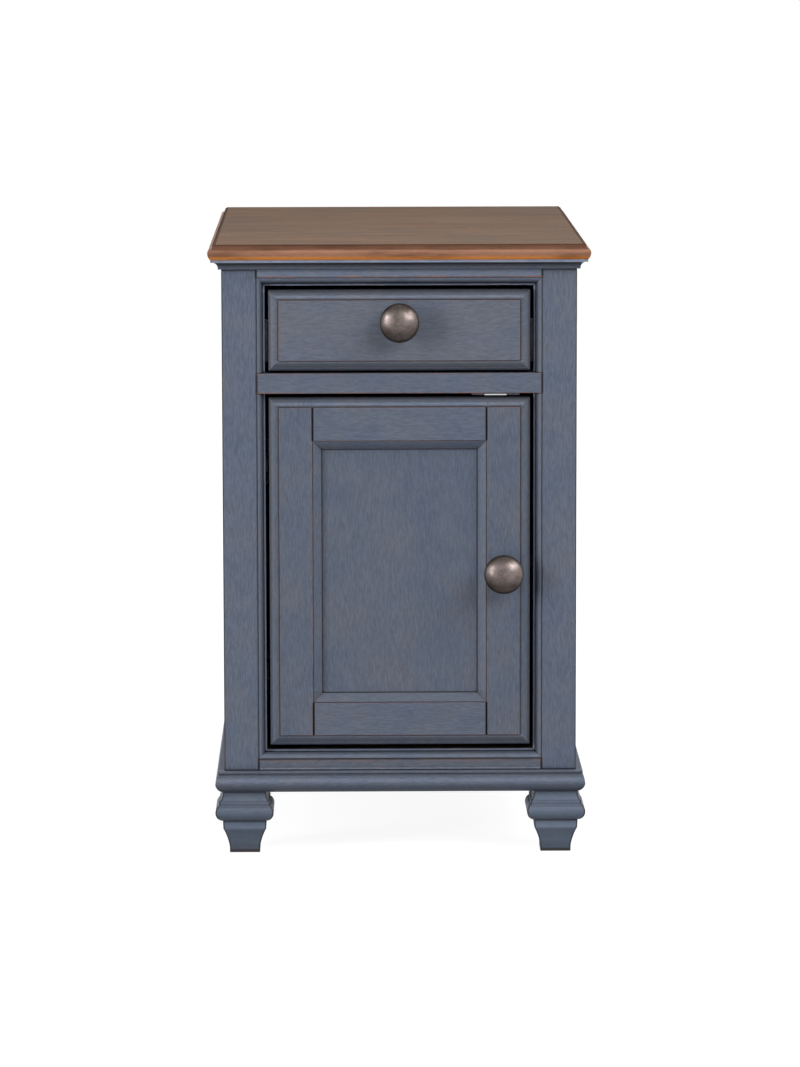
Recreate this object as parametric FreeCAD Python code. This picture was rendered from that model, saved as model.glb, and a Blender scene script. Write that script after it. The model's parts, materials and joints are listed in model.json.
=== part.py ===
# Chairside table with one drawer over one framed door, millimetres, front faces -Y, +Z up
import FreeCAD
import Part
import math
import os

V = FreeCAD.Vector

# Overall size
TOP_WIDTH = 400.0
TOP_DEPTH = 610.0
TOTAL_HEIGHT = 648.0

# Top board and its solid edging
TOP_THICK = 16.0
TOP_OVERHANG = 14.0
EDGING_WIDTH = 26.0
EDGE_STEP_IN = 6.5
EDGE_STEP_DOWN = 1.0
EDGE_BEAD_HEIGHT = 0.9
EDGE_COVE_HEIGHT = 3.6
EDGE_UNDERCUT = 3.0

# Case frame
POST = 36.0
POST_EASE = 0.8
RAIL_THICK = 20.0
TOP_RAIL_HEIGHT = 19.2
DIVIDER_HEIGHT = 21.1
DIVIDER_DEPTH = 50.0
BOTTOM_RAIL_HEIGHT = 34.5
TENON_THICK = 8.0
TENON_LENGTH = 15.0
TENON_SHOULDER = 3.0
MORTISE_ROOM = 0.5

# Crown and base mouldings, each a projection from the case face
CROWN_HEIGHT = 10.2
CROWN_FILLET = 2.6
CROWN_QUIRK = 2.6
CROWN_FOOT = 1.6
CROWN_FOOT_OUT = 3.4
BASE_HEIGHT = 22.5
BASE_FILLET = 2.1
BASE_FILLET_OUT = 7.2
BASE_QUIRK = 2.4
BASE_QUIRK_DEPTH = 1.0
BASE_TORUS_OUT = 9.8
BASE_TORUS_ROLL = 6.6
BASE_EASE = 0.6

# Frame moulding round the opening
FRAME_MOULD = 9.0
FRAME_MOULD_DEPTH = 14.0
FRAME_FILLET = 2.0
FRAME_RELIEF = 9.0

# Openings and the gaps round the drawer front and the door
DRAWER_OPENING = 91.7
FRONT_GAP = 3.9
FRONT_TOP_GAP = 4.4
DRAWER_BOTTOM_GAP = 2.7
DOOR_BOTTOM_GAP = 6.0
FRONT_THICK = 20.0
FRONT_EDGE = 10.5
FRONT_EDGE_DROP = 5.0
FRONT_EDGE_STEP = 1.2

# Door frame, its inner moulding and panel
STILE_WIDTH = 45.5
DOOR_RAIL = 45.5
JOINT_GROOVE = 0.9
INNER_MOULD = 9.5
PANEL_RECESS = 8.0
PANEL_THICK = 6.0
PANEL_TONGUE = 6.0
PANEL_ROOM = 0.5

# Side, back, floor and shelf
SIDE_PANEL_THICK = 16.0
SIDE_PANEL_INSET = 6.0
SIDE_TONGUE = 8.0
SIDE_TONGUE_THICK = 6.0
SIDE_TOP_RAIL = 40.0
SIDE_BOTTOM_RAIL = 52.0
REAR_RAIL = 34.0
BACK_THICK = 6.0
BACK_SET_IN = 6.0
BACK_LAP = 8.0
FLOOR_THICK = 12.0
FLOOR_DROP = 1.0
FLOOR_HOUSING = 6.0
SHELF_THICK = 15.0
SHELF_UNDERSIDE = 294.0
SHELF_FRONT_SET = 86.0
SHELF_PLAY = 0.5
PIN_RADIUS = 2.5
PIN_LENGTH = 18.0
PIN_EDGE = 45.0
PIN_PITCH = 32.0
BLOCK_LEG = 44.0
BLOCK_HEIGHT = 24.0

# Feet
FOOT_HEIGHT = 67.5
FOOT_INSET = 21.0
GLIDE_HEIGHT = 1.0
GLIDE_RADIUS = 8.0
GLIDE_SHANK = 1.5
GLIDE_SHANK_LENGTH = 12.0
FOOT_BOLT_RADIUS = 4.0
FOOT_BOLT_IN_FOOT = 30.0
FOOT_BOLT_IN_POST = 32.0

# Drawer box and slides
DRAWER_SIDE = 12.0
DRAWER_SIDE_HEIGHT = 64.0
DRAWER_LIFT = 8.0
DRAWER_BOX_LENGTH = 496.0
DRAWER_BOTTOM_THICK = 5.0
DRAWER_BOTTOM_RISE = 8.0
DRAWER_GROOVE = 6.0
SLIDE_HEIGHT = 45.0
SLIDE_WIDTH = 12.7
SLIDE_LENGTH = 490.0
SLIDE_SHEET = 1.2
SLIDE_PLAY = 0.3
SLIDE_CENTRE_UP = 33.0
SLIDE_RAIL_HEIGHT = 60.0
SLIDE_SET_BACK = 1.0

# Knobs
KNOB_RADIUS = 20.6
KNOB_OUT = 28.0
KNOB_NECK = 6.5
KNOB_FLANGE = 9.0
DRAWER_KNOB_UP = 9.4
DOOR_KNOB_UP = -0.6

# Screws
SCREW_RADIUS = 2.0
SCREW_HEAD = 4.0
SCREW_HEAD_HEIGHT = 2.4
SCREW_PLAY = 0.1

# Concealed hinges: a cup let into the door and a hooked arm that turns on a pin inside it
HINGE_INSET = 72.0
HINGE_ANGLE = 100.0
PIVOT_IN = 14.8
PIVOT_DEEP = 7.4
CUP_RADIUS = 17.5
CUP_TAB = 4.0
CUP_DEPTH = 11.5
CUP_WALL = 1.0
CUP_PLAY = 0.1
CUP_FLANGE_LENGTH = 62.0
CUP_FLANGE_WIDTH = 22.0
CUP_SCREW_SPACING = 48.0
CHEEK_SHEET = 1.4
ARM_SHEET = 2.4
ARM_WIDTH = 17.6
ARM_PLAY = 0.5
ARM_BEHIND_DOOR = 10.5
ARM_FOOT = 40.0
PIVOT_RADIUS = 1.5
PIVOT_PLAY = 0.05
EYE_RADIUS = 2.8
HINGE_STRIP_DEPTH = 70.0
PLATE_THICK = 2.0
PLATE_WIDTH = 48.0
PLATE_SCREW_SPACING = 34.0

# Catch
CATCH_WIDTH = 50.0
CATCH_METAL = 23.0
CATCH_HEIGHT = 13.0
CATCH_DEPTH = 18.0
CATCH_FROM_RIGHT = 36.0
STRIKE_WIDTH = 28.0
STRIKE_HEIGHT = 12.0
STRIKE_THICK = 1.2
CATCH_CLEAR = 0.3
CATCH_LIP_IN = 7.0
CATCH_LIP_THICK = 2.7
CATCH_TONGUE = 1.4

# Levels worked out from the sizes above
TOP_UNDER = TOTAL_HEIGHT - TOP_THICK
CASE_X = TOP_WIDTH / 2 - TOP_OVERHANG
CASE_Y = TOP_DEPTH / 2 - TOP_OVERHANG
INNER_X = CASE_X - POST
OPENING_X = INNER_X - FRAME_MOULD
TOP_RAIL_Z = TOP_UNDER - TOP_RAIL_HEIGHT
OPENING_TOP = TOP_RAIL_Z - FRAME_MOULD
DIVIDER_TOP = OPENING_TOP - DRAWER_OPENING
DIVIDER_Z = DIVIDER_TOP - DIVIDER_HEIGHT
BOTTOM_RAIL_TOP = FOOT_HEIGHT + BOTTOM_RAIL_HEIGHT
OPENING_BOTTOM = BOTTOM_RAIL_TOP + FRAME_MOULD
FACE_Y = -CASE_Y
RAIL_BACK_Y = FACE_Y + RAIL_THICK
FRONT_BACK_Y = FACE_Y + FRONT_THICK
FRONT_X = OPENING_X - FRONT_GAP
DRAWER_Z0 = DIVIDER_TOP + DRAWER_BOTTOM_GAP
DRAWER_Z1 = OPENING_TOP - FRONT_TOP_GAP
DOOR_Z0 = OPENING_BOTTOM + DOOR_BOTTOM_GAP
DOOR_Z1 = DIVIDER_Z - FRONT_TOP_GAP
BACK_Y0 = CASE_Y - BACK_SET_IN - BACK_THICK
REAR_RAIL_Y0 = BACK_Y0 - RAIL_THICK
POST_IN_Y = CASE_Y - POST
WALL_X = INNER_X + SIDE_PANEL_INSET
FLOOR_TOP = OPENING_BOTTOM - FLOOR_DROP
FLOOR_Z = FLOOR_TOP - FLOOR_THICK
FOOT_X = CASE_X - FOOT_INSET
FOOT_Y = CASE_Y - FOOT_INSET
KNOB_TIP_Y = FACE_Y - KNOB_OUT
SHIFT_Y = (-TOP_DEPTH / 2 - KNOB_TIP_Y) / 2
SLIDE_FACE_X = OPENING_X
BOX_X = SLIDE_FACE_X - SLIDE_WIDTH
BOX_Z0 = DIVIDER_TOP + DRAWER_LIFT
BOX_Z1 = BOX_Z0 + DRAWER_SIDE_HEIGHT
SLIDE_Z = DIVIDER_TOP + SLIDE_CENTRE_UP
SLIDE_Y0 = FRONT_BACK_Y + SLIDE_SET_BACK
BIG = 1000.0

SIDES = ("left", "right")
SIGN = {"left": -1.0, "right": 1.0}


def box(x0, y0, z0, x1, y1, z1):
    return Part.makeBox(x1 - x0, y1 - y0, z1 - z0, V(x0, y0, z0))


def rod(centre, axis, radius, length):
    return Part.makeCylinder(radius, length, V(*centre), V(*axis))


def sound(shape):
    # a single solid comes out of a boolean wrapped, so it is unwrapped here
    if len(shape.Solids) == 1:
        shape = shape.Solids[0]
    if shape.Volume < 0:
        shape.reverse()
    return shape


def edges_of(place, start, steps):
    # a step is a point, or a pair of points for an arc through the first to the second
    made = []
    here = start
    for step in steps:
        if isinstance(step[0], tuple):
            made.append(Part.Arc(place(*here), place(*step[0]), place(*step[1])).toShape())
            here = step[1]
        else:
            made.append(Part.LineSegment(place(*here), place(*step)).toShape())
            here = step
    return made


def prism(place, start, steps, along):
    edges = edges_of(place, start, list(steps) + [start])
    face = Part.Face(Part.Wire(edges))
    return sound(face.extrude(V(*along)))


def plan(points, z0=-BIG, z1=BIG):
    return prism(lambda x, y: V(x, y, z0), points[0], points[1:], (0, 0, z1 - z0))


def elevation(points, y0=-BIG, y1=BIG):
    return prism(lambda x, z: V(x, y0, z), points[0], points[1:], (0, y1 - y0, 0))


def cut(shape, *tools):
    for tool in tools:
        shape = shape.cut(tool)
    return sound(shape)


def fuse(first, *others):
    for other in others:
        first = first.fuse(other)
    return sound(first.removeSplitter())


def common(first, second):
    return sound(first.common(second))


def mirror_x(shape):
    return shape.mirror(V(0, 0, 0), V(1, 0, 0))


def put(node, *shapes):
    # the table's case is centred on Y, and the shift centres the box that includes the knobs
    solids = []
    for shape in shapes:
        solids.extend(shape.Solids)
    whole = solids[0] if len(solids) == 1 else Part.makeCompound(solids)
    whole = whole.copy()
    whole.translate(V(0, SHIFT_Y, 0))
    whole.exportStep("parts/" + node + ".step")


def screw(centre, axis, length):
    # the head lies on the surface at the centre, and the shank goes in along the axis
    back = V(*centre) - V(*axis) * SCREW_HEAD_HEIGHT
    head = Part.makeCylinder(SCREW_HEAD, SCREW_HEAD_HEIGHT, back, V(*axis))
    return fuse(head, rod(centre, axis, SCREW_RADIUS, length))


def screw_hole(centre, axis, length):
    return rod(centre, axis, SCREW_RADIUS + SCREW_PLAY, length + SCREW_PLAY)


def strip_round(start, steps, side, half_x, half_y, whole_ring):
    # an outward profile (out, z) run along one side of a rectangle and mitred at its corners
    reach = 60.0
    if side == "front":
        bar = prism(lambda u, z: V(-BIG, -half_y - u, z), start, steps, (2 * BIG, 0, 0))
    elif side == "rear":
        bar = prism(lambda u, z: V(-BIG, half_y + u, z), start, steps, (2 * BIG, 0, 0))
    else:
        s = SIGN[side]
        bar = prism(lambda u, z: V(s * (half_x + u), -BIG, z), start, steps, (0, 2 * BIG, 0))
    x1, x0 = half_x + reach, half_x - reach
    y1, y0 = half_y + reach, half_y - reach
    if side in ("front", "rear"):
        f = -1.0 if side == "front" else 1.0
        mask = plan([(-x1, f * y1), (x1, f * y1), (x0, f * y0), (-x0, f * y0)])
    elif whole_ring:
        mask = plan([(s * x1, -y1), (s * x1, y1), (s * x0, y0), (s * x0, -y0)])
    else:
        mask = plan([(s * x1, -y1), (s * x1, half_y), (s * x0, half_y), (s * x0, -y0)])
    return common(bar, mask)


def strip_inside(start, steps, side, frame, width, stop=None):
    # an inward profile (in, back) run along one side of an opening and mitred, or stopped square
    x0, x1, z0, z1 = frame
    if side == "left":
        bar = prism(lambda v, w: V(x0 + v, FACE_Y + w, -BIG), start, steps, (0, 0, 2 * BIG))
        ends = [(x0, z0), (x0, z1), (x0 + width, z1 - width), (x0 + width, z0 + width)]
    elif side == "right":
        bar = prism(lambda v, w: V(x1 - v, FACE_Y + w, -BIG), start, steps, (0, 0, 2 * BIG))
        ends = [(x1, z0), (x1, z1), (x1 - width, z1 - width), (x1 - width, z0 + width)]
    elif side == "top":
        bar = prism(lambda v, w: V(-BIG, FACE_Y + w, z1 - v), start, steps, (2 * BIG, 0, 0))
        ends = [(x0, z1), (x1, z1), (x1 - width, z1 - width), (x0 + width, z1 - width)]
    else:
        bar = prism(lambda v, w: V(-BIG, FACE_Y + w, z0 + v), start, steps, (2 * BIG, 0, 0))
        ends = [(x0, z0), (x1, z0), (x1 - width, z0 + width), (x0 + width, z0 + width)]
    if stop == "bottom":
        ends = [ends[0], ends[1], ends[2], (ends[2][0], z0)]
    if stop == "top":
        ends = [ends[0], ends[1], (ends[3][0], z1), ends[3]]
    return common(bar, elevation(ends))


def top_panel():
    x = TOP_WIDTH / 2 - EDGING_WIDTH
    y = TOP_DEPTH / 2 - EDGING_WIDTH
    board = box(-x, -y, TOP_UNDER, x, y, TOTAL_HEIGHT)
    return cut(board, *[screw_hole(c, (0, 0, 1), BLOCK_HEIGHT + TOP_THICK * 0.7) for c in top_screw_places()])


def level_point(apex, end):
    # the halfway point of an arc that leaves the apex upright and runs in to the end
    du = apex[0] - end[0]
    dz = end[1] - apex[1]
    radius = (du * du + dz * dz) / (2 * du)
    half = math.asin(dz / radius) / 2
    return apex[0] - radius * (1 - math.cos(half)), apex[1] + radius * math.sin(half)


def edging_profile():
    # flat, small step, bead, cove, then the bullnose that turns in under the edge
    z = TOTAL_HEIGHT
    bead_z = z - EDGE_STEP_DOWN
    cove_z = bead_z - EDGE_BEAD_HEIGHT
    nose_z = cove_z - EDGE_COVE_HEIGHT
    ledge = -EDGE_STEP_IN + 1.6
    nose_top = (-1.3, nose_z)
    cove_via = (-3.6, nose_z + 0.9)
    apex = (0.0, nose_z - (nose_z - TOP_UNDER) * 0.3)
    foot = (-EDGE_UNDERCUT, TOP_UNDER)
    start = (-EDGING_WIDTH, TOP_UNDER)
    steps = [(-EDGING_WIDTH, z), (-EDGE_STEP_IN, z), (-EDGE_STEP_IN, bead_z), (ledge, bead_z), (ledge, cove_z),
             (cove_via, nose_top), (level_point(apex, nose_top), apex), (level_point(apex, foot), foot)]
    return start, steps


def top_edging(side):
    start, steps = edging_profile()
    return strip_round(start, steps, side, TOP_WIDTH / 2, TOP_DEPTH / 2, True)


def crown_moulding():
    # a fillet under the top, a cove that starts in its shadow, and a small foot against the case
    out = TOP_OVERHANG - EDGE_UNDERCUT
    z = TOP_UNDER
    low = z - CROWN_HEIGHT
    foot = (CROWN_FOOT_OUT, low + CROWN_FOOT)
    cove_top = (out - CROWN_QUIRK, z - CROWN_FILLET)
    via = ((foot[0] + cove_top[0]) / 2 - 0.7, (foot[1] + cove_top[1]) / 2 + 1.0)
    steps = [(0, z), (out, z), (out, z - CROWN_FILLET), cove_top, (via, foot), (CROWN_FOOT_OUT, low)]
    return [strip_round((0, low), steps, side, CASE_X, CASE_Y, False) for side in ("front", "left", "right")]


def base_moulding():
    # an eased fillet, a soft quirk and a full torus that rolls in under the case
    z0 = FOOT_HEIGHT
    z1 = z0 + BASE_HEIGHT
    fillet_z = z1 - BASE_FILLET
    torus_z = fillet_z - BASE_QUIRK
    out, torus, ease = BASE_FILLET_OUT, BASE_TORUS_OUT, BASE_EASE
    eased = ((out - ease * 0.3, z1 - ease * 0.3), (out, z1 - ease))
    quirk = ((out - BASE_QUIRK_DEPTH, fillet_z - BASE_QUIRK * 0.5), (out + 0.3, torus_z))
    widest = z0 + BASE_HEIGHT * 0.38
    upper = ((torus - 1.0, torus_z - (torus_z - widest) * 0.36), (torus, widest))
    lower = ((torus - 2.3, z0 + 3.4), (torus - BASE_TORUS_ROLL, z0))
    steps = [(0, z1), (out - ease, z1), eased, (out, fillet_z), quirk, upper, lower]
    return [strip_round((0, z0), steps, side, CASE_X, CASE_Y, False) for side in ("front", "left", "right")]


def tenon(x_side, z0, z1, play=0.0):
    s = SIGN[x_side]
    y = (FACE_Y + RAIL_BACK_Y) / 2
    x_in = s * INNER_X
    x_out = s * (INNER_X + TENON_LENGTH + play)
    return box(min(x_in, x_out), y - TENON_THICK / 2, z0 + TENON_SHOULDER,
               max(x_in, x_out), y + TENON_THICK / 2, z1 - TENON_SHOULDER)


RAIL_SPANS = ((TOP_RAIL_Z, TOP_UNDER), (DIVIDER_Z, DIVIDER_TOP), (FOOT_HEIGHT, BOTTOM_RAIL_TOP))


def front_rail(span, depth):
    z0, z1 = span
    bar = box(-INNER_X, FACE_Y, z0, INNER_X, FACE_Y + depth, z1)
    return fuse(bar, tenon("left", z0, z1), tenon("right", z0, z1))


def side_groove(side, front, room):
    # the stopped tongue of a side panel, with room added for the groove that takes it
    s = SIGN[side]
    f = -1.0 if front else 1.0
    x0 = s * (WALL_X + (SIDE_PANEL_THICK - SIDE_TONGUE_THICK) / 2)
    x1 = x0 + s * SIDE_TONGUE_THICK
    y0 = f * POST_IN_Y
    y1 = f * (POST_IN_Y + SIDE_TONGUE + room)
    return box(min(x0, x1), min(y0, y1), FOOT_HEIGHT, max(x0, x1), max(y0, y1), TOP_UNDER)


def post(side, front):
    s = SIGN[side]
    f = -1.0 if front else 1.0
    e = POST_EASE
    corners = [(INNER_X + e, CASE_Y), (CASE_X - e, CASE_Y), (CASE_X, CASE_Y - e), (CASE_X, POST_IN_Y),
               (INNER_X, POST_IN_Y), (INNER_X, CASE_Y - e)]
    body = plan([(s * x, f * y) for x, y in corners], FOOT_HEIGHT, TOP_UNDER)
    tools = [side_groove(side, front, MORTISE_ROOM)]
    bolt_z = FOOT_HEIGHT - SCREW_PLAY
    tools.append(rod((s * FOOT_X, f * FOOT_Y, bolt_z), (0, 0, 1), FOOT_BOLT_RADIUS + SCREW_PLAY,
                     FOOT_BOLT_IN_POST + 2 * SCREW_PLAY))
    if front:
        tools += [tenon(side, z0, z1, MORTISE_ROOM) for z0, z1 in RAIL_SPANS]
    else:
        x0, x1 = sorted((s * INNER_X, s * (INNER_X + BACK_LAP)))
        tools.append(box(x0, BACK_Y0, FOOT_HEIGHT, x1, CASE_Y, TOP_UNDER))
    return cut(body, *tools)


def rear_rails():
    spans = ((TOP_UNDER - REAR_RAIL, TOP_UNDER), (FOOT_HEIGHT, FLOOR_Z))
    rails = [box(-INNER_X, REAR_RAIL_Y0, z0, INNER_X, BACK_Y0, z1) for z0, z1 in spans]
    holes = [screw_hole(c, (0, -1, 0), BACK_THICK + RAIL_THICK * 0.8) for c in back_screw_places()]
    return [cut(rail, *holes) for rail in rails]


def pin_places():
    # rows of shelf pin holes in the side panels, with the pins in the middle holes
    front = -CASE_Y + SHELF_FRONT_SET + PIN_EDGE
    rear = POST_IN_Y - PIN_EDGE
    z = SHELF_UNDERSIDE - PIN_RADIUS
    return [(y, z + row * PIN_PITCH) for y in (front, rear) for row in (-1, 0, 1)]


def side_panel(side):
    s = SIGN[side]
    x0, x1 = sorted((s * WALL_X, s * (WALL_X + SIDE_PANEL_THICK)))
    board = box(x0, -POST_IN_Y, FOOT_HEIGHT, x1, POST_IN_Y, TOP_UNDER)
    board = fuse(board, side_groove(side, True, 0), side_groove(side, False, 0))
    housing_x = s * (WALL_X + FLOOR_HOUSING)
    h0, h1 = sorted((s * (WALL_X - 1.0), housing_x))
    tools = [box(h0, -POST_IN_Y, FLOOR_Z, h1, POST_IN_Y, FLOOR_TOP)]
    depth = PIN_LENGTH / 2
    for y, z in pin_places():
        tools.append(rod((s * WALL_X, y, z), (s, 0, 0), PIN_RADIUS + PIVOT_PLAY, depth + PIVOT_PLAY))
    return cut(board, *tools)


def side_rails():
    made = []
    for side in SIDES:
        s = SIGN[side]
        x0, x1 = sorted((s * (WALL_X + SIDE_PANEL_THICK), s * CASE_X))
        for z0, z1 in ((FOOT_HEIGHT, FOOT_HEIGHT + SIDE_BOTTOM_RAIL), (TOP_UNDER - SIDE_TOP_RAIL, TOP_UNDER)):
            made.append(box(x0, -POST_IN_Y, z0, x1, POST_IN_Y, z1))
    return made


def back_screw_places():
    y = CASE_Y - BACK_SET_IN
    rows = ((TOP_UNDER - REAR_RAIL / 2), (FOOT_HEIGHT + FLOOR_Z) / 2)
    return [(x, y, z) for z in rows for x in (-INNER_X * 0.8, 0, INNER_X * 0.8)]


def back_panel():
    x = INNER_X + BACK_LAP - PANEL_ROOM
    y1 = CASE_Y - BACK_SET_IN
    board = box(-x, BACK_Y0, FOOT_HEIGHT, x, y1, TOP_UNDER)
    return cut(board, *[screw_hole(c, (0, -1, 0), BACK_THICK) for c in back_screw_places()])


def back_screws():
    return [screw(c, (0, -1, 0), BACK_THICK + RAIL_THICK * 0.8) for c in back_screw_places()]


def cabinet_floor():
    middle = box(-INNER_X, RAIL_BACK_Y, FLOOR_Z, INNER_X, BACK_Y0, FLOOR_TOP)
    x = WALL_X + FLOOR_HOUSING - PANEL_ROOM
    wide = box(-x, -POST_IN_Y, FLOOR_Z, x, POST_IN_Y, FLOOR_TOP)
    return fuse(middle, wide)


def block_corners():
    return [(side, front) for side in SIDES for front in (True, False)]


def corner_block(side, front, z0, holes):
    s = SIGN[side]
    f = -1.0 if front else 1.0
    y = abs(RAIL_BACK_Y) if front else REAR_RAIL_Y0
    corner = (s * INNER_X, f * y)
    points = [corner, (corner[0] - s * BLOCK_LEG, corner[1]), (corner[0], corner[1] - f * BLOCK_LEG)]
    return cut(plan(points, z0, z0 + BLOCK_HEIGHT), *holes)


def top_screw_places():
    z = TOP_UNDER - BLOCK_HEIGHT
    made = []
    for side, front in block_corners():
        s = SIGN[side]
        f = -1.0 if front else 1.0
        y = abs(RAIL_BACK_Y) if front else REAR_RAIL_Y0
        made.append((s * (INNER_X - BLOCK_LEG * 0.3), f * (y - BLOCK_LEG * 0.3), z))
    return made


def corner_blocks():
    holes = [screw_hole(c, (0, 0, 1), BLOCK_HEIGHT) for c in top_screw_places()]
    upper = [corner_block(s, f, TOP_UNDER - BLOCK_HEIGHT, holes) for s, f in block_corners()]
    lower = [corner_block(s, f, FLOOR_Z - BLOCK_HEIGHT, []) for s, f in block_corners()]
    return upper + lower


def top_screws():
    return [screw(c, (0, 0, 1), BLOCK_HEIGHT + TOP_THICK * 0.7) for c in top_screw_places()]


def frame_profile():
    # a small step from the rail, an ovolo, a quirk and a thin fillet beside the opening
    step = POST_EASE
    ovolo_end = (FRAME_MOULD - FRAME_FILLET - 0.4, FRAME_RELIEF - 1.2)
    via = (ovolo_end[0] * 0.78, step + (ovolo_end[1] - step) * 0.27)
    start = (0, step)
    steps = [(via, ovolo_end), (ovolo_end[0], FRAME_RELIEF + 1.0), (FRAME_MOULD - FRAME_FILLET, FRAME_RELIEF + 1.0),
             (FRAME_MOULD - FRAME_FILLET, FRAME_RELIEF), (FRAME_MOULD, FRAME_RELIEF),
             (FRAME_MOULD, FRAME_MOULD_DEPTH), (0, FRAME_MOULD_DEPTH)]
    return start, steps


def frame_moulding(zone, side):
    start, steps = frame_profile()
    if zone == "drawer":
        frame = (-INNER_X, INNER_X, DIVIDER_TOP, TOP_RAIL_Z)
        stop = "bottom"
    else:
        frame = (-INNER_X, INNER_X, BOTTOM_RAIL_TOP, DIVIDER_Z)
        stop = "top"
    return strip_inside(start, steps, side, frame, FRAME_MOULD, stop if side in SIDES else None)


def shelf():
    x = WALL_X - SHELF_PLAY
    return box(-x, -CASE_Y + SHELF_FRONT_SET, SHELF_UNDERSIDE, x, POST_IN_Y, SHELF_UNDERSIDE + SHELF_THICK)


def shelf_pins():
    z = SHELF_UNDERSIDE - PIN_RADIUS
    made = []
    for side in SIDES:
        s = SIGN[side]
        for y in sorted({y for y, _ in pin_places()}):
            made.append(rod((s * (WALL_X - PIN_LENGTH / 2), y, z), (s, 0, 0), PIN_RADIUS, PIN_LENGTH))
    return made


def foot_profile():
    # half widths up the foot: taper, neck, torus, fillet, cove and the block under the case
    z0 = GLIDE_HEIGHT
    return (15.6, z0), [((15.9, z0 + 0.1), (16.0, z0 + 0.5)), (16.1, 7.4), ((18.2, 16.6), (22.7, 27.9)),
                        (23.1, 36.3), (25.7, 37.3), ((30.8, 45.4), (27.6, 53.4)), (26.8, 53.9), (26.8, 57.4),
                        (25.8, 57.7), ((23.9, 61.4), (23.0, 66.0)), (23.0, FOOT_HEIGHT)]


def flipped(steps, start):
    # the same outline walked back down the other side
    points = [start]
    for step in steps:
        points.append(step[1] if isinstance(step[0], tuple) else step)
    back = []
    for i in range(len(steps) - 1, -1, -1):
        end = (-points[i][0], points[i][1])
        if isinstance(steps[i][0], tuple):
            back.append(((-steps[i][0][0], steps[i][0][1]), end))
        else:
            back.append(end)
    return (-points[-1][0], points[-1][1]), back


def foot(side, front):
    s = SIGN[side]
    f = -1.0 if front else 1.0
    start, up = foot_profile()
    top, down = flipped(up, start)
    outline = up + [top] + down
    across = prism(lambda a, z: V(a, -BIG, z), start, outline, (0, 2 * BIG, 0))
    along = prism(lambda a, z: V(-BIG, a, z), start, outline, (2 * BIG, 0, 0))
    body = common(across, along)
    body.translate(V(s * FOOT_X, f * FOOT_Y, 0))
    x, y = s * FOOT_X, f * FOOT_Y
    bolt = rod((x, y, FOOT_HEIGHT - FOOT_BOLT_IN_FOOT - SCREW_PLAY), (0, 0, 1), FOOT_BOLT_RADIUS + SCREW_PLAY,
               FOOT_BOLT_IN_FOOT + 2 * SCREW_PLAY)
    shank = rod((x, y, 0), (0, 0, 1), GLIDE_SHANK + SCREW_PLAY, GLIDE_HEIGHT + GLIDE_SHANK_LENGTH + SCREW_PLAY)
    return cut(body, bolt, shank)


def foot_places():
    return [(SIGN[side] * FOOT_X, (-1.0 if front else 1.0) * FOOT_Y) for side, front in block_corners()]


def foot_bolts():
    z0 = FOOT_HEIGHT - FOOT_BOLT_IN_FOOT
    return [rod((x, y, z0), (0, 0, 1), FOOT_BOLT_RADIUS, FOOT_BOLT_IN_FOOT + FOOT_BOLT_IN_POST)
            for x, y in foot_places()]


def foot_glides():
    made = []
    for x, y in foot_places():
        disc = rod((x, y, 0), (0, 0, 1), GLIDE_RADIUS, GLIDE_HEIGHT)
        made.append(fuse(disc, rod((x, y, 0), (0, 0, 1), GLIDE_SHANK, GLIDE_HEIGHT + GLIDE_SHANK_LENGTH)))
    return made


def edged_slab(x1, z0, z1):
    # a board whose four front edges carry the same routed profile, mitred where they meet
    d, e, t = FRONT_EDGE_DROP, FRONT_EDGE, FRONT_EDGE_STEP
    bulge = ((e * 0.38, d * 0.38 + t * 0.12), (0, d))
    field = FACE_Y
    back = FRONT_BACK_Y

    def profile(low, high):
        rise = [(high - e, 0), (high - e, t), ((high - bulge[0][0], bulge[0][1]), (high, d))]
        fall = [((low + bulge[0][0], bulge[0][1]), (low + e, t)), (low + e, 0)]
        return (low, d), fall + rise + [(high, back - field), (low, back - field)]

    start, steps = profile(-x1, x1)
    across = prism(lambda a, w: V(a, field + w, z0), start, steps, (0, 0, z1 - z0))
    start, steps = profile(z0, z1)
    upright = prism(lambda a, w: V(-x1, field + w, a), start, steps, (2 * x1, 0, 0))
    return common(across, upright)


def dome_point(edge, tip):
    # the halfway point of an arc from the edge to the tip whose centre lies on the knob's axis
    a, d = edge
    centre = (tip * tip - d * d - a * a) / (2 * (tip - d))
    radius = tip - centre
    half = math.atan2(a, d - centre) / 2
    return radius * math.sin(half), centre + radius * math.cos(half)


def knob(x, z):
    # a mushroom knob turned about its own axis, flange on the field
    r, out = KNOB_RADIUS, KNOB_OUT
    rim = out - 10.0
    edge = (r - 0.3, rim + 0.6)
    profile_start = (0, 0)
    steps = [(KNOB_FLANGE, 0), (KNOB_FLANGE, 1.6), ((KNOB_NECK + 0.7, 3.8), (KNOB_NECK, 8.0)),
             ((KNOB_NECK + 5.5, 13.2), (r - 1.4, rim - 2.4)), ((r, rim - 1.0), edge),
             (dome_point(edge, out), (0, out))]
    edges = edges_of(lambda a, d: V(x + a, FACE_Y - d, z), profile_start, steps + [profile_start])
    face = Part.Face(Part.Wire(edges))
    body = sound(face.revolve(V(x, FACE_Y, z), V(0, -1, 0), 360))
    return cut(body, screw_hole((x, FACE_Y, z), (0, -1, 0), KNOB_SCREW_IN))


KNOB_SCREW_IN = 12.0
DRAWER_KNOB_Z = (DRAWER_Z0 + DRAWER_Z1) / 2 + DRAWER_KNOB_UP
DOOR_KNOB_Z = (DOOR_Z0 + DOOR_Z1) / 2 + DOOR_KNOB_UP
DOOR_KNOB_X = FRONT_X - (FRONT_EDGE + STILE_WIDTH) / 2
INNER_FRONT_Y = FRONT_BACK_Y + DRAWER_SIDE


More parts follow.
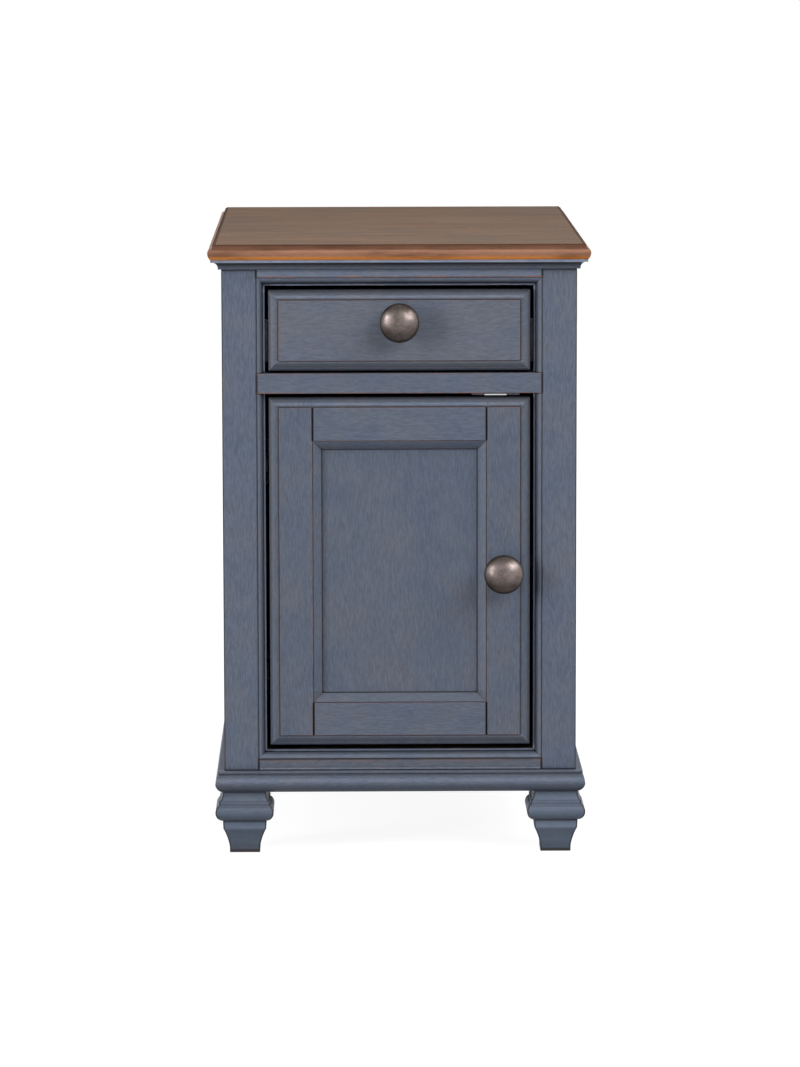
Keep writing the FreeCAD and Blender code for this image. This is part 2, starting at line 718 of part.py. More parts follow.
def drawer_screw_places():
    z = (BOX_Z0 + BOX_Z1) / 2
    return [(x, INNER_FRONT_Y, z) for x in (-BOX_X * 0.6, BOX_X * 0.6)]


DRAWER_SCREW_LENGTH = DRAWER_SIDE + FRONT_THICK * 0.6


def drawer_knob_screw():
    return (0, INNER_FRONT_Y, DRAWER_KNOB_Z), INNER_FRONT_Y - FACE_Y + KNOB_SCREW_IN


def drawer_holes():
    centre, length = drawer_knob_screw()
    holes = [screw_hole(centre, (0, -1, 0), length)]
    holes += [screw_hole(c, (0, -1, 0), DRAWER_SCREW_LENGTH) for c in drawer_screw_places()]
    return holes


def drawer_screws():
    centre, length = drawer_knob_screw()
    made = [screw(centre, (0, -1, 0), length)]
    made += [screw(c, (0, -1, 0), DRAWER_SCREW_LENGTH) for c in drawer_screw_places()]
    return made


def drawer_front():
    return cut(edged_slab(FRONT_X, DRAWER_Z0, DRAWER_Z1), *drawer_holes())


def drawer_bottom_board(room):
    x = BOX_X - DRAWER_SIDE + DRAWER_GROOVE + room
    z0 = BOX_Z0 + DRAWER_BOTTOM_RISE
    return box(-x, INNER_FRONT_Y - DRAWER_GROOVE - room, z0, x, FRONT_BACK_Y + DRAWER_BOX_LENGTH,
               z0 + DRAWER_BOTTOM_THICK)


def drawer_sides():
    made = []
    for side in SIDES:
        s = SIGN[side]
        x0, x1 = sorted((s * (BOX_X - DRAWER_SIDE), s * BOX_X))
        board = box(x0, FRONT_BACK_Y, BOX_Z0, x1, FRONT_BACK_Y + DRAWER_BOX_LENGTH, BOX_Z1)
        made.append(cut(board, drawer_bottom_board(PANEL_ROOM)))
    return made


def drawer_inner_front():
    x = BOX_X - DRAWER_SIDE
    board = box(-x, FRONT_BACK_Y, BOX_Z0, x, INNER_FRONT_Y, BOX_Z1)
    return cut(board, drawer_bottom_board(PANEL_ROOM), *drawer_holes())


def drawer_back():
    x = BOX_X - DRAWER_SIDE
    y1 = FRONT_BACK_Y + DRAWER_BOX_LENGTH
    z0 = BOX_Z0 + DRAWER_BOTTOM_RISE + DRAWER_BOTTOM_THICK
    return box(-x, y1 - DRAWER_SIDE, z0, x, y1, BOX_Z1)


def channel(side, x_web, x_lip, half, sheet):
    # a steel channel along the slide, its web at one face and its lips reaching to the other
    s = SIGN[side]
    lo, hi = min(x_web, x_lip), max(x_web, x_lip)
    outer = box(lo, SLIDE_Y0, SLIDE_Z - half, hi, SLIDE_Y0 + SLIDE_LENGTH, SLIDE_Z + half)
    if x_web > x_lip:
        hollow = box(lo - 1.0, SLIDE_Y0 - 1, SLIDE_Z - half + sheet, hi - sheet, SLIDE_Y0 + SLIDE_LENGTH + 1,
                     SLIDE_Z + half - sheet)
    else:
        hollow = box(lo + sheet, SLIDE_Y0 - 1, SLIDE_Z - half + sheet, hi + 1.0, SLIDE_Y0 + SLIDE_LENGTH + 1,
                     SLIDE_Z + half - sheet)
    made = cut(outer, hollow)
    return made if s > 0 else mirror_x(made)


def slide_member(side, kind):
    face, sheet, play = SLIDE_FACE_X, SLIDE_SHEET, SLIDE_PLAY
    half = SLIDE_HEIGHT / 2
    if kind == "cabinet":
        return channel(side, face, BOX_X + 3.2, half, sheet)
    if kind == "middle":
        return channel(side, face - sheet - play, BOX_X + 2.4, half - sheet - play, sheet)
    return channel(side, BOX_X, face - 2 * (sheet + play), half - 2 * (sheet + play), sheet)


def slide_mounting_rail(side):
    s = SIGN[side]
    z0 = SLIDE_Z - SLIDE_RAIL_HEIGHT / 2
    z1 = SLIDE_Z + SLIDE_RAIL_HEIGHT / 2
    front = FACE_Y + FRAME_MOULD_DEPTH
    long_bar = box(OPENING_X, front, z0, INNER_X, REAR_RAIL_Y0, z1)
    packer = box(INNER_X, -POST_IN_Y, z0, WALL_X, POST_IN_Y, z1)
    made = fuse(long_bar, packer)
    return made if s > 0 else mirror_x(made)


DOOR_JOINT_X = FRONT_X - STILE_WIDTH
PANEL_Y0 = FACE_Y + PANEL_RECESS
CUP_X = -FRONT_X + CUP_TAB + CUP_RADIUS
PIVOT_X = -FRONT_X + PIVOT_IN
PIVOT_Y = FRONT_BACK_Y - PIVOT_DEEP
CUP_SCREW_X = CUP_X + 6.0
CUP_SCREW_LENGTH = 11.0
HINGE_Z = (DOOR_Z0 + HINGE_INSET, DOOR_Z1 - HINGE_INSET)


def panel_board(room):
    x = DOOR_JOINT_X + PANEL_TONGUE + room
    z0 = DOOR_Z0 + DOOR_RAIL - PANEL_TONGUE - room
    z1 = DOOR_Z1 - DOOR_RAIL + PANEL_TONGUE + room
    return box(-x, PANEL_Y0, z0, x, PANEL_Y0 + PANEL_THICK, z1)


def joint_grooves():
    # a fine V along each joint between stile and rail, stopped at the routed edge
    g = JOINT_GROOVE
    made = []
    for x in (-DOOR_JOINT_X, DOOR_JOINT_X):
        for z0, z1 in ((DOOR_Z0 + FRONT_EDGE, DOOR_Z0 + DOOR_RAIL), (DOOR_Z1 - DOOR_RAIL, DOOR_Z1 - FRONT_EDGE)):
            made.append(prism(lambda a, w: V(x + a, FACE_Y + w, z0), (-g, -g), [(g, -g), (g, 0), (0, 1.6 * g),
                                                                               (-g, 0)], (0, 0, z1 - z0)))
    return made


def door_holes():
    holes = [screw_hole((DOOR_KNOB_X, FRONT_BACK_Y, DOOR_KNOB_Z), (0, -1, 0), FRONT_THICK + KNOB_SCREW_IN)]
    for z in HINGE_Z:
        holes.append(rod((CUP_X, FRONT_BACK_Y, z), (0, -1, 0), CUP_RADIUS + CUP_PLAY, CUP_DEPTH + CUP_PLAY))
        for dz in (-CUP_SCREW_SPACING / 2, CUP_SCREW_SPACING / 2):
            holes.append(screw_hole((CUP_SCREW_X, FRONT_BACK_Y, z + dz), (0, -1, 0), CUP_SCREW_LENGTH))
    return holes


def door_frame():
    blank = edged_slab(FRONT_X, DOOR_Z0, DOOR_Z1)
    blank = cut(blank, panel_board(PANEL_ROOM), *joint_grooves())
    blank = cut(blank, *door_holes())
    x = DOOR_JOINT_X
    left = box(-BIG, -BIG, 0, -x, BIG, BIG)
    right = box(x, -BIG, 0, BIG, BIG, BIG)
    lower = box(-x, -BIG, 0, x, BIG, DOOR_Z0 + DOOR_RAIL)
    upper = box(-x, -BIG, DOOR_Z1 - DOOR_RAIL, x, BIG, BIG)
    return [common(blank, mask) for mask in (left, right, lower, upper)]


def door_moulding():
    # a sloped inner moulding, a hair under the field at its outer edge
    frame = (-DOOR_JOINT_X, DOOR_JOINT_X, DOOR_Z0 + DOOR_RAIL, DOOR_Z1 - DOOR_RAIL)
    w = INNER_MOULD
    low = PANEL_RECESS
    start = (0, 0.5)
    steps = [(0.9, 0.3), ((w * 0.55, low * 0.40), (w - 0.3, low - 1.2)), (w, low - 1.2), (w, low), (0, low)]
    return [strip_inside(start, steps, side, frame, w) for side in ("left", "right", "bottom", "top")]


def knob_and_cup_screws():
    made = [screw((DOOR_KNOB_X, FRONT_BACK_Y, DOOR_KNOB_Z), (0, -1, 0), FRONT_THICK + KNOB_SCREW_IN)]
    y = FRONT_BACK_Y + CUP_WALL
    for z in HINGE_Z:
        for dz in (-CUP_SCREW_SPACING / 2, CUP_SCREW_SPACING / 2):
            made.append(screw((CUP_SCREW_X, y, z + dz), (0, -1, 0), CUP_SCREW_LENGTH))
    return made


HINGE_FACE_X = -OPENING_X
PLATE_FACE_X = HINGE_FACE_X + PLATE_THICK
ARM_Y = FRONT_BACK_Y + ARM_BEHIND_DOOR
PLATE_Y0 = ARM_Y + ARM_SHEET + 1.0
PLATE_SCREW_Y = PLATE_Y0 + ARM_FOOT * 0.4
HINGE_SCREW_LENGTH = 9.0


def hinge_screw_places():
    # two screws through the wings of each plate, and one through the arm, into the strip
    made = []
    for z in HINGE_Z:
        for dz in (-PLATE_SCREW_SPACING / 2, PLATE_SCREW_SPACING / 2):
            made.append((PLATE_FACE_X, PLATE_SCREW_Y, z + dz))
        made.append((PLATE_FACE_X + ARM_SHEET, PLATE_SCREW_Y, z))
    return made


def hinge_holes():
    return [screw_hole(c, (-1, 0, 0), HINGE_SCREW_LENGTH) for c in hinge_screw_places()]


def hinge_screws():
    return [screw(c, (-1, 0, 0), HINGE_SCREW_LENGTH) for c in hinge_screw_places()]


def hinge_strip():
    front = FACE_Y + FRAME_MOULD_DEPTH
    bar = box(-INNER_X, front, OPENING_BOTTOM, HINGE_FACE_X, front + HINGE_STRIP_DEPTH, DIVIDER_Z)
    return cut(bar, *hinge_holes())


def hinge_plate(z):
    y1 = PLATE_Y0 + ARM_FOOT - ARM_SHEET
    half = ARM_WIDTH / 2 + 2.0
    spine = box(HINGE_FACE_X, PLATE_Y0, z - half, PLATE_FACE_X, y1, z + half)
    wings = box(HINGE_FACE_X, PLATE_SCREW_Y - 7.0, z - PLATE_WIDTH / 2, PLATE_FACE_X, PLATE_SCREW_Y + 7.0,
                z + PLATE_WIDTH / 2)
    return cut(fuse(spine, wings), *hinge_holes())


def cup_half_chord(z_half):
    return math.sqrt((CUP_RADIUS - CUP_WALL) ** 2 - z_half ** 2)


def hinge_arm(z):
    # from the eye in the cup, out past the door's edge, and back along the plate to its foot
    t = ARM_SHEET
    half = ARM_WIDTH / 2
    out = CUP_X + cup_half_chord(half) - 1.0
    back = ARM_Y + t
    foot_end = PLATE_Y0 + ARM_FOOT - t
    foot_x = PLATE_FACE_X
    bend = t * 0.9
    outline = [(PIVOT_X, PIVOT_Y - t / 2), (out - bend, PIVOT_Y - t / 2), (out, PIVOT_Y - t / 2 + bend),
               (out, back - bend), (out - bend, back), (foot_x + t, back), (foot_x + t, foot_end),
               (foot_x, foot_end), (foot_x, ARM_Y + bend), (foot_x + bend, ARM_Y), (out - t, ARM_Y),
               (out - t, PIVOT_Y + t / 2), (PIVOT_X, PIVOT_Y + t / 2)]
    ribbon = plan(outline, z - half, z + half)
    eye = rod((PIVOT_X, PIVOT_Y, z - half), (0, 0, 1), EYE_RADIUS, ARM_WIDTH)
    bore = rod((PIVOT_X, PIVOT_Y, z - half - 1), (0, 0, 1), PIVOT_RADIUS + PIVOT_PLAY, ARM_WIDTH + 2)
    return cut(fuse(ribbon, eye), bore, *hinge_holes())


def hinge_cup(z):
    # a pressed bowl and flange, two cheeks across the bowl, and the pin between them
    y = FRONT_BACK_Y
    inner = CUP_RADIUS - CUP_WALL
    bowl = rod((CUP_X, y, z), (0, -1, 0), CUP_RADIUS, CUP_DEPTH)
    plate = box(CUP_X - CUP_RADIUS + 1.0, y, z - CUP_FLANGE_LENGTH / 2, CUP_X + CUP_FLANGE_WIDTH - 2.0,
                y + CUP_WALL, z + CUP_FLANGE_LENGTH / 2)
    plate = common(plate, rod((CUP_X, y, z), (0, 1, 0), CUP_FLANGE_LENGTH / 2, CUP_WALL))
    hollow = rod((CUP_X, y + 2 * CUP_WALL, z), (0, -1, 0), inner, CUP_DEPTH + CUP_WALL)
    body = cut(fuse(bowl, plate), hollow)
    cheek_z = ARM_WIDTH / 2 + ARM_PLAY
    cheeks = []
    for z0, z1 in ((z - cheek_z - CHEEK_SHEET, z - cheek_z), (z + cheek_z, z + cheek_z + CHEEK_SHEET)):
        slab = box(CUP_X - BIG, y - CUP_DEPTH + CUP_WALL / 2, z0, CUP_X + BIG, y, z1)
        cheeks.append(common(slab, rod((CUP_X, y, z), (0, -1, 0), inner + CUP_WALL / 2, CUP_DEPTH)))
    pin = rod((PIVOT_X, PIVOT_Y, z - cheek_z - CHEEK_SHEET / 2), (0, 0, 1), PIVOT_RADIUS,
              2 * cheek_z + CHEEK_SHEET)
    body = fuse(body, cheeks[0], cheeks[1], pin)
    holes = [screw_hole((CUP_SCREW_X, y + CUP_WALL, z + dz), (0, -1, 0), CUP_WALL)
             for dz in (-CUP_SCREW_SPACING / 2, CUP_SCREW_SPACING / 2)]
    return cut(body, *holes)


CATCH_X = FRONT_X - CATCH_FROM_RIGHT
CATCH_Y0 = FRONT_BACK_Y + STRIKE_THICK + CATCH_CLEAR


def catch_parts():
    # a plastic housing under the divider rail round a magnet that meets the strike plate; its mounting lips and
    # the magnet's steel tongue reach forward into the gap over the door
    half, metal = CATCH_WIDTH / 2, CATCH_METAL / 2
    z0, z1 = DIVIDER_Z - CATCH_HEIGHT, DIVIDER_Z
    y0, y1 = CATCH_Y0 + 1.0, CATCH_Y0 + CATCH_DEPTH
    magnet = box(CATCH_X - metal, CATCH_Y0, z0 + 1.5, CATCH_X + metal, y1 - 3.0, z1)
    body = box(CATCH_X - half, y0, z1 - CATCH_LIP_THICK, CATCH_X + half, y1, z1)
    body = fuse(body, box(CATCH_X - metal - 2.0, y0, z0, CATCH_X + metal + 2.0, y1, z1))
    lip_y = FACE_Y + CATCH_LIP_IN
    lips = [box(CATCH_X - half, lip_y, z1 - CATCH_LIP_THICK, CATCH_X - metal, y0, z1),
            box(CATCH_X + metal, lip_y, z1 - CATCH_LIP_THICK, CATCH_X + half, y0, z1)]
    low = z1 - CATCH_LIP_THICK - 0.1
    tongue = box(CATCH_X - metal, lip_y - 0.5, low, CATCH_X + metal, CATCH_Y0, low + CATCH_TONGUE)
    return [cut(body, magnet)] + lips, [magnet, tongue]


def catch_strike():
    z1 = DIVIDER_Z - CATCH_HEIGHT + STRIKE_HEIGHT - 3.0
    return box(CATCH_X - STRIKE_WIDTH / 2, FRONT_BACK_Y, z1 - STRIKE_HEIGHT, CATCH_X + STRIKE_WIDTH / 2,
               FRONT_BACK_Y + STRIKE_THICK, z1)


def build_case():
    put("top_panel", top_panel())
    put("top_edge_front", top_edging("front"))
    put("top_edge_rear", top_edging("rear"))
    put("top_edge_sides", top_edging("left"), top_edging("right"))
    put("crown_moulding", *crown_moulding())
    put("base_moulding", *base_moulding())
    put("post_front_left", post("left", True))
    put("post_front_right", post("right", True))
    put("rear_posts", post("left", False), post("right", False))
    put("top_rail", front_rail(RAIL_SPANS[0], RAIL_THICK))
    put("divider_rail", front_rail(RAIL_SPANS[1], DIVIDER_DEPTH))
    put("bottom_rail", front_rail(RAIL_SPANS[2], RAIL_THICK))
    put("rear_rails", *rear_rails())
    put("side_panels", side_panel("left"), side_panel("right"))
    put("side_rails", *side_rails())
    put("back_panel", back_panel())
    put("back_screws", *back_screws())
    put("cabinet_floor", cabinet_floor())
    put("corner_blocks", *corner_blocks())
    put("top_screws", *top_screws())
    put("frame_moulding_top", frame_moulding("drawer", "top"))
    put("frame_moulding_sides", *[frame_moulding(zone, side) for zone in ("drawer", "door") for side in SIDES])
    put("frame_moulding_bottom", frame_moulding("door", "bottom"))
    put("shelf", shelf())
    put("shelf_pins", *shelf_pins())


def build_feet():
    for side, front in block_corners():
        put("foot_" + ("front_" if front else "rear_") + side, foot(side, front))
    put("foot_bolts", *foot_bolts())
    put("foot_glides", *foot_glides())


def build_drawer():
    put("drawer_front", drawer_front())
    put("drawer_sides", *drawer_sides())
    put("drawer_inner_front", drawer_inner_front())
    put("drawer_back", drawer_back())
    put("drawer_bottom", drawer_bottom_board(0))
    put("drawer_knob", knob(0, DRAWER_KNOB_Z))
    put("drawer_screws", *drawer_screws())
    put("slide_mounting_rails", *[slide_mounting_rail(side) for side in SIDES])
    put("slide_cabinet_members", *[slide_member(side, "cabinet") for side in SIDES])
    put("slide_drawer_members", *[slide_member(side, "drawer") for side in SIDES])
    for side in SIDES:
        put("slide_middle_" + side, slide_member(side, "middle"))


def build_door():
    left, right, lower, upper = door_frame()
    put("door_stile_left", left)
    put("door_stile_right", right)
    put("door_rail_bottom", lower)
    put("door_rail_top", upper)
    put("door_panel", panel_board(0))
    put("door_moulding", *door_moulding())
    put("door_knob", knob(DOOR_KNOB_X, DOOR_KNOB_Z))
    put("door_screws", *knob_and_cup_screws())
    put("hinge_strip", hinge_strip())
    put("hinge_plates", *[hinge_plate(z) for z in HINGE_Z])
    put("hinge_arms", *[hinge_arm(z) for z in HINGE_Z])
    put("hinge_cups", *[hinge_cup(z) for z in HINGE_Z])
    put("hinge_screws", *hinge_screws())
    housing, magnet = catch_parts()
    put("catch_housing", *housing)
    put("catch_magnet", *magnet)
    put("catch_strike", catch_strike())


os.makedirs("parts", exist_ok=True)
build_case()
build_feet()
build_drawer()
build_door()
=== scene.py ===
# Chairside table: finishes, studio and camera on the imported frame, metres, front faces -Y, +Z up
import json
import math

import bpy
from mathutils import Matrix, Vector

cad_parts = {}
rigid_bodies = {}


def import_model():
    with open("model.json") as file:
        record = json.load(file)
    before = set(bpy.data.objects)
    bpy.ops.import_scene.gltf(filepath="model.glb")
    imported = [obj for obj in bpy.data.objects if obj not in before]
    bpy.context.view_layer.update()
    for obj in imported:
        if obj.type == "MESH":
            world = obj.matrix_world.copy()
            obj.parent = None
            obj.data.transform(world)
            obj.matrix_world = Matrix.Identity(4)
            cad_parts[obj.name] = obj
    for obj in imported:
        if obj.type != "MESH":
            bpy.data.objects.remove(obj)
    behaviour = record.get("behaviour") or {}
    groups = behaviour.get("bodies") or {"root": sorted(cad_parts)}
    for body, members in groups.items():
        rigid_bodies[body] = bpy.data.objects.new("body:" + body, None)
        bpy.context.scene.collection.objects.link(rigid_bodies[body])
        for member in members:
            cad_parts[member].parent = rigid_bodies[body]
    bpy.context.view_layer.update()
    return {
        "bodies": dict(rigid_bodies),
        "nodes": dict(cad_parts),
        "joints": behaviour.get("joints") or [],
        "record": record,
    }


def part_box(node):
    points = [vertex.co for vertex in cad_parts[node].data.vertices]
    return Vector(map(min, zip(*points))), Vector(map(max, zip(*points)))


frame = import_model()

X, Y, Z = 0, 1, 2
MM = 0.001

# Camera: where the photograph was taken from, and its turn, fall and lean in degrees
CAMERA_AT = (-0.0601, -5.198, 1.0091)
CAMERA_TURN = -0.704
CAMERA_FALL = 7.721
CAMERA_LEAN = 0.12
CAMERA_LENS = 159.0
SENSOR = 36.0

# Places that the finishes are worked out from: read off the frame, then two heights on the foot
CASE_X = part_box("post_front_right")[1][X]
CASE_FRONT = -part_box("post_front_left")[0][Y]
POST_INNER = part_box("post_front_right")[0][X]
PANEL_LOW, PANEL_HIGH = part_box("door_moulding")
DOOR_MIDDLE = (PANEL_LOW[Z] + PANEL_HIGH[Z]) / 2
DOOR_REACH = (PANEL_HIGH[Z] - PANEL_LOW[Z]) / 2 - PANEL_HIGH[X]
DRAWER_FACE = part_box("drawer_front")[0][Y]
DOOR_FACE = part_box("door_stile_left")[0][Y]
STILE_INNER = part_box("door_stile_right")[0][X]
CROWN_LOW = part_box("crown_moulding")[0][Z]
CROWN_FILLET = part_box("crown_moulding")[1][Z] - 2.6 * MM
BASE_LOW, BASE_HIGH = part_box("base_moulding")[0][Z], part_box("base_moulding")[1][Z]
FRAME_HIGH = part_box("frame_moulding_top")[1][Z]
FRAME_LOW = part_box("frame_moulding_bottom")[0][Z]
DIVIDER_LOW, DIVIDER_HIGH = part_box("divider_rail")[0][Z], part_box("divider_rail")[1][Z]
FOOT_NECK = 26.2 * MM
FOOT_SOLE = 4.1 * MM


def srgb(red, green, blue):
    # a colour as it is read in a picture, 0 to 255, made linear
    def linear(c):
        c /= 255
        return c / 12.92 if c <= 0.04045 else ((c + 0.055) / 1.055) ** 2.4
    return (linear(red), linear(green), linear(blue), 1.0)


def darker(tone, share):
    return tuple(c * share for c in tone[:3]) + (1.0,)


class Finish:
    # a material with short names for the nodes that the finishes share
    def __init__(self, name):
        self.material = bpy.data.materials.new(name)
        self.material.use_nodes = True
        self.tree = self.material.node_tree
        self.tree.nodes.clear()
        self.shader = self.tree.nodes.new("ShaderNodeBsdfPrincipled")
        self.out = self.tree.nodes.new("ShaderNodeOutputMaterial")
        self.tree.links.new(self.shader.outputs[0], self.out.inputs[0])
        own = self.tree.nodes.new("ShaderNodeTexCoord")
        self.place, self.facing = own.outputs["Object"], own.outputs["Normal"]
        surface = self.tree.nodes.new("ShaderNodeNewGeometry")
        self.normal, self.flat_normal = surface.outputs["Normal"], surface.outputs["True Normal"]

    def fill(self, socket, value):
        if isinstance(value, bpy.types.NodeSocket):
            self.tree.links.new(value, socket)
        else:
            socket.default_value = value

    def fill_all(self, node, values):
        for socket, value in zip(node.inputs, values):
            self.fill(socket, value)
        return node.outputs

    def math(self, kind, a, b=0.0, clamp=False):
        node = self.tree.nodes.new("ShaderNodeMath")
        node.operation = kind
        node.use_clamp = clamp
        return self.fill_all(node, (a, b))[0]

    def plus(self, a, b, clamp=False):
        return self.math("ADD", a, b, clamp)

    def minus(self, a, b):
        return self.math("SUBTRACT", a, b)

    def times(self, a, b):
        return self.math("MULTIPLY", a, b)

    def size(self, a):
        # a number without its sign
        return self.math("ABSOLUTE", a)

    def span(self, value, low, high, to_low=0.0, to_high=1.0):
        # value as it runs smoothly from low to high, turned into to_low to to_high
        node = self.tree.nodes.new("ShaderNodeMapRange")
        node.interpolation_type = "SMOOTHSTEP"
        return self.fill_all(node, (value, low, high, to_low, to_high))[0]

    def pick(self, factor, a, b):
        # a number between a and b
        node = self.tree.nodes.new("ShaderNodeMix")
        node.data_type = "FLOAT"
        for socket, value in zip((node.inputs[0], node.inputs[2], node.inputs[3]), (factor, a, b)):
            self.fill(socket, value)
        return node.outputs[0]

    def mix(self, factor, a, b, blend="MIX"):
        node = self.tree.nodes.new("ShaderNodeMix")
        node.data_type = "RGBA"
        node.blend_type = blend
        self.fill(node.inputs["Factor"], factor)
        self.fill(node.inputs[6], a)
        self.fill(node.inputs[7], b)
        return node.outputs[2]

    def scaled(self, colour, factor):
        return self.mix(1.0, colour, self.join(factor, factor, factor), "MULTIPLY")

    def split(self, vector):
        return self.fill_all(self.tree.nodes.new("ShaderNodeSeparateXYZ"), (vector,))

    def join(self, x, y, z):
        return self.fill_all(self.tree.nodes.new("ShaderNodeCombineXYZ"), (x, y, z))[0]

    def vector(self, operation, *values):
        node = self.tree.nodes.new("ShaderNodeVectorMath")
        node.operation = operation
        return self.fill_all(node, values)

    def stretch(self, scale):
        return self.vector("MULTIPLY", self.place, scale)[0]

    def shrunk(self, vector, share):
        return self.vector("MULTIPLY", vector, (share, share, share))[0]

    def noise(self, vector, scale=1.0, detail=2.0, rough=0.5, warp=0.0):
        node = self.tree.nodes.new("ShaderNodeTexNoise")
        self.fill(node.inputs["Vector"], vector)
        node.inputs["Scale"].default_value = scale
        node.inputs["Detail"].default_value = detail
        node.inputs["Roughness"].default_value = rough
        node.inputs["Distortion"].default_value = warp
        return node.outputs["Fac"]

    def hollow(self, distance):
        # 1 on open surfaces, falling to 0 deep in corners and gaps narrower than the distance
        node = self.tree.nodes.new("ShaderNodeAmbientOcclusion")
        node.samples = 8
        node.inputs["Distance"].default_value = distance
        return node.outputs["AO"]

    def rounded(self, radius):
        node = self.tree.nodes.new("ShaderNodeBevel")
        node.samples = 6
        node.inputs["Radius"].default_value = radius
        return node.outputs[0]

    def bump(self, height, strength, distance, normal=None):
        node = self.tree.nodes.new("ShaderNodeBump")
        node.inputs["Strength"].default_value = strength
        node.inputs["Distance"].default_value = distance
        self.fill(node.inputs["Height"], height)
        if normal is not None:
            self.fill(node.inputs["Normal"], normal)
        return node.outputs[0]

    def set(self, **sockets):
        for name, value in sockets.items():
            self.fill(self.shader.inputs[name.replace("_", " ")], value)
        return self.material


# The stretch of values that most of a noise falls in
SPREAD = (0.3, 0.7)

# How far the noise is drawn out along the grain
GRAIN_ALONG, GRAIN_ACROSS = 0.13, 1.0
GRAIN = {
    "X": (GRAIN_ALONG, GRAIN_ACROSS, GRAIN_ACROSS),
    "Y": (GRAIN_ACROSS, GRAIN_ALONG, GRAIN_ACROSS),
    "Z": (GRAIN_ACROSS, GRAIN_ACROSS, GRAIN_ALONG),
}


def along(f, run):
    # the place squeezed along the grain: one way for a board, or turned at the mitres of a frame
    if run in GRAIN:
        return f.stretch(GRAIN[run])
    x, y, z = f.split(f.place)[:3]
    if run == "round the case":
        from_side = f.minus(f.size(x), CASE_X)
        from_front = f.minus(f.times(y, -1.0), CASE_FRONT)
        turned = f.math("GREATER_THAN", from_side, from_front)
        return f.mix(turned, f.stretch(GRAIN["X"]), f.stretch(GRAIN["Y"]))
    from_end = f.minus(f.size(f.minus(z, DOOR_MIDDLE)), DOOR_REACH)
    turned = f.math("GREATER_THAN", f.size(x), from_end)
    return f.mix(turned, f.stretch(GRAIN["X"]), f.stretch(GRAIN["Z"]))


def mirrored(f, axis):
    # the place on an axis, left and right alike
    value = f.split(f.place)[axis]
    return f.size(value) if axis == X else value


# Blue paint over a red-brown ground, rubbed at the edges, with a dark glaze left in the corners and joints,
# and painted shade in corners, gaps and sheltered places
PAINT = srgb(95, 105, 123)
PAINT_FEET = srgb(92, 103, 120)
PAINT_GREY = srgb(100, 104, 115)
GROUND = srgb(150, 92, 58)
GROUND_DARK = srgb(58, 38, 40)
# the near-black of the glaze in corners and joints, also the painted shade in corners, gaps and sheltered
# places; the warm one on routed borders
GLAZE_AND_SHADE = srgb(9, 11, 16)
WARM_GLAZE_AND_SHADE = srgb(34, 22, 24)

# The glaze and painted shade of broad and of narrow pieces: where it starts, where it is full, its share of
# painted shade when sheltered
GLAZE_AND_SHADE_BROAD, GLAZE_AND_SHADE_NARROW = (0.94, 0.62, 0.62), (0.78, 0.5, 0.2)

# Reach of the glaze and painted shade into corners, sheltered places and seams, and widths of the worn
# edges and lines
CORNER_REACH, SHELTER_REACH, SEAM_REACH = 2.6 * MM, 14 * MM, 1 * MM
ARRIS, ARRIS_NARROW, ARRIS_ROUTED = 1.1 * MM, 0.5 * MM, 1.5 * MM
LINE_WIDTH, LINE_CORE = 1.4 * MM, 0.84 * MM
SOFT_EDGE = 0.8 * MM

# The routed borders, by how far behind the face they lie: the step, the slope and its foot
FACE_ENDS = (1.1 * MM, 0.8 * MM)
STEP, SLOPE_TOP, SLOPE_LOW = 1.2 * MM, 1.8 * MM, 3.4 * MM


def on_face(f, face):
    # 1 on the face, 0 on the routed border behind it
    return f.span(f.minus(f.split(f.place)[Y], face), *FACE_ENDS)


def routed_border_light_and_shade(f, tone, face):
    # painted light and shade on the routed border by which way it looks: a border that looks up runs from
    # painted shade at its foot to a painted highlight at its step, one that looks down is darkened, and the
    # side borders darken outward
    behind = f.minus(f.split(f.place)[Y], face)
    rise = f.split(f.normal)[Z]
    slope = f.span(behind, SLOPE_LOW, SLOPE_TOP, 0.38, 0.64)
    above = f.times(slope, f.span(behind, SLOPE_TOP, STEP, 1.0, 2.1))
    below = f.span(behind, 1.7 * MM, 3.2 * MM, 0.5, 1.2)
    beside = f.span(behind, 2.2 * MM, SLOPE_LOW, 0.9, 0.6)
    level = f.pick(f.span(rise, 0.03, 0.08), beside, above)
    level = f.pick(f.span(rise, -0.03, -0.08), level, below)
    return f.times(tone, f.pick(f.span(behind, 0.3 * MM, 0.5 * MM), 1.0, level))


def frame_painted_shade_and_highlight(f, axis, outer, inward, quirk, bead):
    # painted shade deepening across the frame moulding's hollow to a quirk, and a painted highlight on its
    # bead
    depth = f.times(f.minus(mirrored(f, axis), outer), inward)
    ramp = f.span(depth, 2 * MM, 6 * MM, 1.1, quirk)
    return f.pick(f.span(depth, 6.6 * MM, 7.1 * MM), ramp, bead)


def glaze_and_painted_shade(f, colour, corner, narrow, face):
    # glaze and painted shade darkening corners and seams, and painted shade in sheltered places and gaps,
    # warmer on a routed border
    start, full, keep = GLAZE_AND_SHADE_NARROW if narrow else GLAZE_AND_SHADE_BROAD
    # painted shade where the surface is sheltered under overhangs and in gaps
    sheltered_shade = f.span(f.hollow(SHELTER_REACH), 0.95, 0.25, 0.0, keep)
    glaze = f.plus(f.span(corner, start, full, 0.0, 0.97), sheltered_shade)
    seam = f.span(f.hollow(SEAM_REACH), 0.88, 0.62)
    if face is None:
        return f.mix(f.plus(glaze, seam, True), colour, GLAZE_AND_SHADE)
    forward = on_face(f, face)
    glaze = f.plus(glaze, f.times(seam, forward), True)
    dark = f.mix(forward, WARM_GLAZE_AND_SHADE, GLAZE_AND_SHADE)
    return f.mix(f.times(glaze, f.pick(forward, 0.85, 1.0)), colour, dark)


